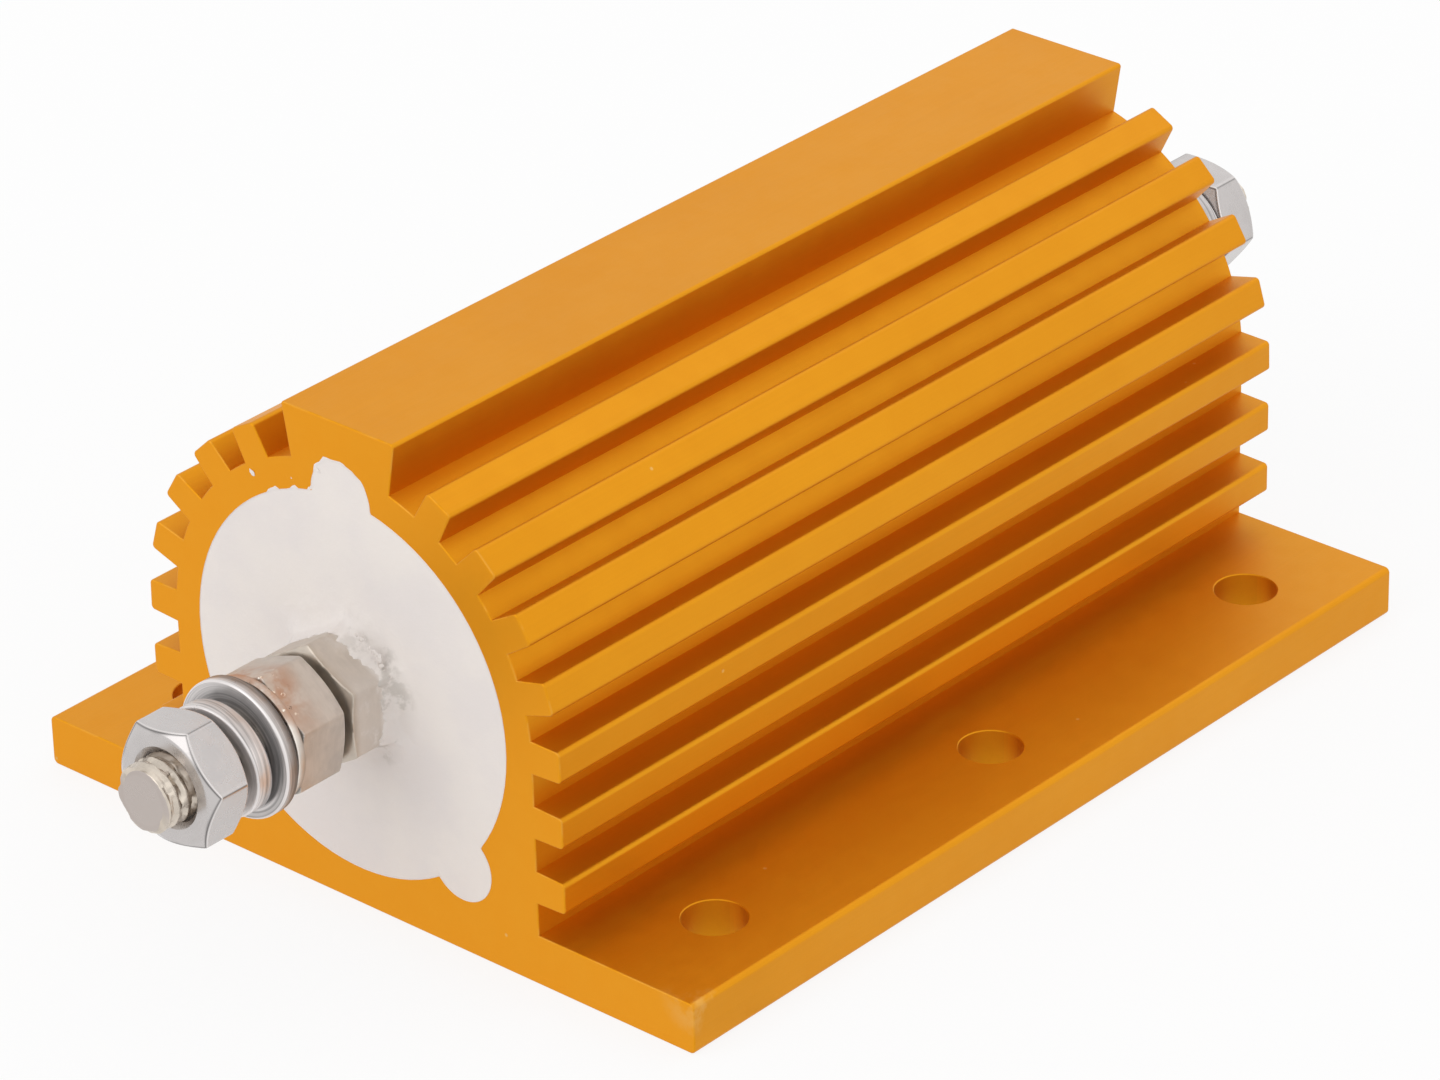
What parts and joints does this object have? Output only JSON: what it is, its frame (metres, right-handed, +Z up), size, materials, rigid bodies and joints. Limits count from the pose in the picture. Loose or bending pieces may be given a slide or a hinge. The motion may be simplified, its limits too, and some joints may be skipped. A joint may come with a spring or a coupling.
{
  "type": "aluminium housed power resistor",
  "caption": "Wirewound power resistor in a finned extruded aluminium housing with two drilled mounting flanges and a threaded terminal at each end",
  "frame": {"origin": "middle of the housing's underside", "axes": "+X along the housing and its terminals, from the front end to the rear end; +Y across the mounting flanges; +Z up, away from the heat sink"},
  "size_m": [0.1388, 0.0724, 0.0443],
  "materials": {
    "gold_anodised": "satin",
    "white_cement": "matte",
    "steatite": "matte",
    "resistance_alloy": "satin",
    "cap_steel": "satin",
    "stud_steel": "satin",
    "nickel_plate": "satin",
    "bright_plate": "polished"
  },
  "bodies": {
    "root": {"housing": "gold_anodised", "cement_fill": "white_cement", "ceramic_core": "steatite", "resistance_wire": "resistance_alloy", "end_cap_front": "cap_steel", "end_cap_rear": "cap_steel", "terminal_stud_front": "stud_steel", "terminal_stud_rear": "stud_steel", "inner_nut_front": "nickel_plate", "inner_nut_rear": "nickel_plate", "backing_nut_front": "nickel_plate", "backing_nut_rear": "nickel_plate", "flat_washer_front": "bright_plate", "flat_washer_rear": "bright_plate", "spring_washer_front": "bright_plate", "spring_washer_rear": "bright_plate", "outer_nut_front": "bright_plate", "outer_nut_rear": "bright_plate"}
  },
  "joints": []
}
